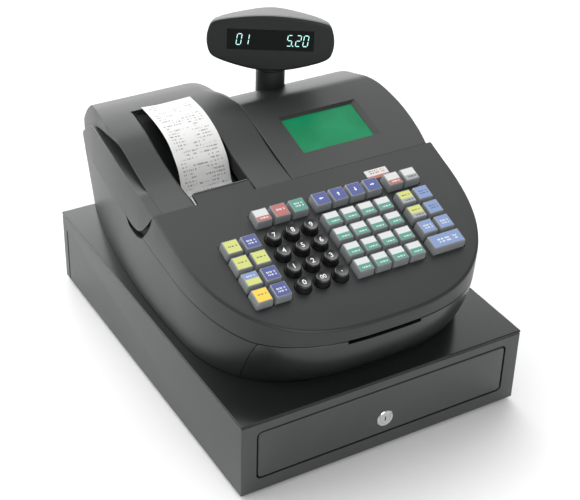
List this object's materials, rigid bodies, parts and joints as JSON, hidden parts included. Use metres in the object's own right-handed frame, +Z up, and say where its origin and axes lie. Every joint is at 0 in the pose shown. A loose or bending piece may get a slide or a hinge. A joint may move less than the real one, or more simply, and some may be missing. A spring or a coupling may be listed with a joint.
{
  "type": "cash register",
  "caption": "Keyed cash register with roll printer, tilted operator display and swivelling customer display, standing on a steel drawer cabinet with a money tray.",
  "frame": {"origin": "on the surface that the feet stand on, below the middle of the cabinet", "axes": "+Z up, -Y is the front with the drawer and keyboard, +X is the operator's right"},
  "size_m": [0.3344, 0.4434, 0.3439],
  "materials": {
    "black_steel": "semi-gloss powder coat",
    "drawer_steel": "satin",
    "foot_rubber": "matte",
    "lock_chrome": "polished",
    "tray_plastic": "fine texture",
    "clip_steel": "satin",
    "case_plastic": "fine moulded grain, slight sheen",
    "front_gloss": "polished",
    "circuit_board": "solder mask",
    "lcd_green": "backlit green, glossy",
    "dark_window": "polished dark filter",
    "paper": "thermal paper, matte",
    "key_clear": "clear cap over a coloured legend",
    "key_black": "gloss moulded"
  },
  "bodies": {
    "register": {"cabinet": "black_steel", "foot_front_left": "foot_rubber", "foot_front_right": "foot_rubber", "foot_rear_left": "foot_rubber", "foot_rear_right": "foot_rubber", "base_case": "case_plastic", "front_cover": "front_gloss", "cord_gland": "foot_rubber", "main_board": "circuit_board", "upper_case": "case_plastic", "display_cover": "case_plastic", "lcd_glass": "lcd_green", "printer_unit": "tray_plastic", "receipt": "paper", "paper_chute": "case_plastic", "display_pole": "case_plastic", "keyboard_board": "circuit_board"},
    "drawer": {"drawer_box": "drawer_steel", "drawer_front": "black_steel"},
    "money_tray": {"money_tray": "tray_plastic"},
    "drawer_lock": {"drawer_lock": "lock_chrome"},
    "printer_cover": {"printer_cover": "case_plastic"},
    "paper_roll": {"paper_roll": "paper"},
    "platen_roller": {"platen_roller": "foot_rubber"},
    "display_head": {"head_shell": "case_plastic", "head_face": "case_plastic", "head_window": "dark_window"},
    "bill_clip_1": {"bill_clip_1": "clip_steel"},
    "bill_clip_2": {"bill_clip_2": "clip_steel"},
    "bill_clip_3": {"bill_clip_3": "clip_steel"},
    "bill_clip_4": {"bill_clip_4": "clip_steel"},
    "left_keys_1": {"left_keys_1": "key_clear"},
    "left_keys_2": {"left_keys_2": "key_clear"},
    "left_keys_3": {"left_keys_3": "key_clear"},
    "left_keys_4": {"left_keys_4": "key_clear"},
    "department_keys_1": {"department_keys_1": "key_clear"},
    "department_keys_2": {"department_keys_2": "key_clear"},
    "department_keys_3": {"department_keys_3": "key_clear"},
    "department_keys_4": {"department_keys_4": "key_clear"},
    "right_keys_1": {"right_keys_1": "key_clear"},
    "right_keys_2": {"right_keys_2": "key_clear"},
    "right_keys_3": {"right_keys_3": "key_clear"},
    "function_keys": {"function_keys": "key_clear"},
    "mode_keys": {"mode_keys": "key_clear"},
    "total_key": {"total_key": "key_clear"},
    "feed_key": {"feed_key": "key_clear"},
    "clear_key": {"clear_key": "key_clear"},
    "void_key": {"void_key": "key_clear"},
    "key_7": {"key_7": "key_black"},
    "key_8": {"key_8": "key_black"},
    "key_9": {"key_9": "key_black"},
    "key_4": {"key_4": "key_black"},
    "key_5": {"key_5": "key_black"},
    "key_6": {"key_6": "key_black"},
    "key_1": {"key_1": "key_black"},
    "key_2": {"key_2": "key_black"},
    "key_3": {"key_3": "key_black"},
    "key_0": {"key_0": "key_black"},
    "key_00": {"key_00": "key_black"},
    "key_point": {"key_point": "key_black"}
  },
  "joints": [
    {"name": "drawer_slide", "type": "slide", "parent": "register", "child": "drawer", "axis": [0, -1, 0], "range_m": [0, 0.28]},
    {"name": "tray_lift", "type": "slide", "parent": "drawer", "child": "money_tray", "axis": [0, 0, 1], "range_m": [0, 0.014]},
    {"name": "lock_turn", "type": "hinge", "parent": "drawer", "child": "drawer_lock", "pos_m": [0, -0.22035, 0.0391], "axis": [0, 1, 0], "range_deg": [0, 90]},
    {"name": "cover_tilt", "type": "hinge", "parent": "register", "child": "printer_cover", "pos_m": [-0.085, 0.2165, 0.188], "axis": [-1, 0, 0], "range_deg": [0, 15]},
    {"name": "roll_spin", "type": "hinge", "parent": "register", "child": "paper_roll", "pos_m": [-0.08125, 0.15, 0.2195], "axis": [1, 0, 0], "continuous": true},
    {"name": "platen_spin", "type": "hinge", "parent": "register", "child": "platen_roller", "pos_m": [-0.08225, -0.012, 0.199], "axis": [1, 0, 0], "continuous": true},
    {"name": "display_swivel", "type": "hinge", "parent": "register", "child": "display_head", "pos_m": [0.0495, 0.114, 0.278], "axis": [0, 0, 1], "range_deg": [-143, 206]},
    {"name": "bill_clip_1_lift", "type": "hinge", "parent": "money_tray", "child": "bill_clip_1", "pos_m": [-0.10294, 0.0485, 0.065], "axis": [-1, 0, 0], "range_deg": [0, 28]},
    {"name": "bill_clip_2_lift", "type": "hinge", "parent": "money_tray", "child": "bill_clip_2", "pos_m": [-0.03431, 0.0485, 0.065], "axis": [-1, 0, 0], "range_deg": [0, 28]},
    {"name": "bill_clip_3_lift", "type": "hinge", "parent": "money_tray", "child": "bill_clip_3", "pos_m": [0.03431, 0.0485, 0.065], "axis": [-1, 0, 0], "range_deg": [0, 28]},
    {"name": "bill_clip_4_lift", "type": "hinge", "parent": "money_tray", "child": "bill_clip_4", "pos_m": [0.10294, 0.0485, 0.065], "axis": [-1, 0, 0], "range_deg": [0, 28]},
    {"name": "left_keys_1_press", "type": "slide", "parent": "register", "child": "left_keys_1", "axis": [0, 0.3173, -0.9483], "range_m": [0, 0.0025], "stiffness_N_per_m": 250, "springref_m": -0.003},
    {"name": "left_keys_2_press", "type": "slide", "parent": "register", "child": "left_keys_2", "axis": [0, 0.3173, -0.9483], "range_m": [0, 0.0025], "stiffness_N_per_m": 250, "springref_m": -0.003},
    {"name": "left_keys_3_press", "type": "slide", "parent": "register", "child": "left_keys_3", "axis": [0, 0.3173, -0.9483], "range_m": [0, 0.0025], "stiffness_N_per_m": 250, "springref_m": -0.003},
    {"name": "left_keys_4_press", "type": "slide", "parent": "register", "child": "left_keys_4", "axis": [0, 0.3173, -0.9483], "range_m": [0, 0.0025], "stiffness_N_per_m": 250, "springref_m": -0.003},
    {"name": "department_keys_1_press", "type": "slide", "parent": "register", "child": "department_keys_1", "axis": [0, 0.3173, -0.9483], "range_m": [0, 0.0025], "stiffness_N_per_m": 250, "springref_m": -0.003},
    {"name": "department_keys_2_press", "type": "slide", "parent": "register", "child": "department_keys_2", "axis": [0, 0.3173, -0.9483], "range_m": [0, 0.0025], "stiffness_N_per_m": 250, "springref_m": -0.003},
    {"name": "department_keys_3_press", "type": "slide", "parent": "register", "child": "department_keys_3", "axis": [0, 0.3173, -0.9483], "range_m": [0, 0.0025], "stiffness_N_per_m": 250, "springref_m": -0.003},
    {"name": "department_keys_4_press", "type": "slide", "parent": "register", "child": "department_keys_4", "axis": [0, 0.3173, -0.9483], "range_m": [0, 0.0025], "stiffness_N_per_m": 250, "springref_m": -0.003},
    {"name": "right_keys_1_press", "type": "slide", "parent": "register", "child": "right_keys_1", "axis": [0, 0.3173, -0.9483], "range_m": [0, 0.0025], "stiffness_N_per_m": 250, "springref_m": -0.003},
    {"name": "right_keys_2_press", "type": "slide", "parent": "register", "child": "right_keys_2", "axis": [0, 0.3173, -0.9483], "range_m": [0, 0.0025], "stiffness_N_per_m": 250, "springref_m": -0.003},
    {"name": "right_keys_3_press", "type": "slide", "parent": "register", "child": "right_keys_3", "axis": [0, 0.3173, -0.9483], "range_m": [0, 0.0025], "stiffness_N_per_m": 250, "springref_m": -0.003},
    {"name": "function_keys_press", "type": "slide", "parent": "register", "child": "function_keys", "axis": [0, 0.3173, -0.9483], "range_m": [0, 0.0025], "stiffness_N_per_m": 250, "springref_m": -0.003},
    {"name": "mode_keys_press", "type": "slide", "parent": "register", "child": "mode_keys", "axis": [0, 0.3173, -0.9483], "range_m": [0, 0.0025], "stiffness_N_per_m": 250, "springref_m": -0.003},
    {"name": "total_key_press", "type": "slide", "parent": "register", "child": "total_key", "axis": [0, 0.3173, -0.9483], "range_m": [0, 0.0025], "stiffness_N_per_m": 250, "springref_m": -0.003},
    {"name": "feed_key_press", "type": "slide", "parent": "register", "child": "feed_key", "axis": [0, 0.3173, -0.9483], "range_m": [0, 0.0025], "stiffness_N_per_m": 250, "springref_m": -0.003},
    {"name": "clear_key_press", "type": "slide", "parent": "register", "child": "clear_key", "axis": [0, 0.3173, -0.9483], "range_m": [0, 0.0025], "stiffness_N_per_m": 250, "springref_m": -0.003},
    {"name": "void_key_press", "type": "slide", "parent": "register", "child": "void_key", "axis": [0, 0.3173, -0.9483], "range_m": [0, 0.0025], "stiffness_N_per_m": 250, "springref_m": -0.003},
    {"name": "key_7_press", "type": "slide", "parent": "register", "child": "key_7", "axis": [0, 0.3173, -0.9483], "range_m": [0, 0.0025], "stiffness_N_per_m": 250, "springref_m": -0.003},
    {"name": "key_8_press", "type": "slide", "parent": "register", "child": "key_8", "axis": [0, 0.3173, -0.9483], "range_m": [0, 0.0025], "stiffness_N_per_m": 250, "springref_m": -0.003},
    {"name": "key_9_press", "type": "slide", "parent": "register", "child": "key_9", "axis": [0, 0.3173, -0.9483], "range_m": [0, 0.0025], "stiffness_N_per_m": 250, "springref_m": -0.003},
    {"name": "key_4_press", "type": "slide", "parent": "register", "child": "key_4", "axis": [0, 0.3173, -0.9483], "range_m": [0, 0.0025], "stiffness_N_per_m": 250, "springref_m": -0.003},
    {"name": "key_5_press", "type": "slide", "parent": "register", "child": "key_5", "axis": [0, 0.3173, -0.9483], "range_m": [0, 0.0025], "stiffness_N_per_m": 250, "springref_m": -0.003},
    {"name": "key_6_press", "type": "slide", "parent": "register", "child": "key_6", "axis": [0, 0.3173, -0.9483], "range_m": [0, 0.0025], "stiffness_N_per_m": 250, "springref_m": -0.003},
    {"name": "key_1_press", "type": "slide", "parent": "register", "child": "key_1", "axis": [0, 0.3173, -0.9483], "range_m": [0, 0.0025], "stiffness_N_per_m": 250, "springref_m": -0.003},
    {"name": "key_2_press", "type": "slide", "parent": "register", "child": "key_2", "axis": [0, 0.3173, -0.9483], "range_m": [0, 0.0025], "stiffness_N_per_m": 250, "springref_m": -0.003},
    {"name": "key_3_press", "type": "slide", "parent": "register", "child": "key_3", "axis": [0, 0.3173, -0.9483], "range_m": [0, 0.0025], "stiffness_N_per_m": 250, "springref_m": -0.003},
    {"name": "key_0_press", "type": "slide", "parent": "register", "child": "key_0", "axis": [0, 0.3173, -0.9483], "range_m": [0, 0.0025], "stiffness_N_per_m": 250, "springref_m": -0.003},
    {"name": "key_00_press", "type": "slide", "parent": "register", "child": "key_00", "axis": [0, 0.3173, -0.9483], "range_m": [0, 0.0025], "stiffness_N_per_m": 250, "springref_m": -0.003},
    {"name": "key_point_press", "type": "slide", "parent": "register", "child": "key_point", "axis": [0, 0.3173, -0.9483], "range_m": [0, 0.0025], "stiffness_N_per_m": 250, "springref_m": -0.003}
  ],
  "couplings": [
    {"joint": "platen_spin", "follows": "roll_spin", "ratio": 5.5}
  ]
}
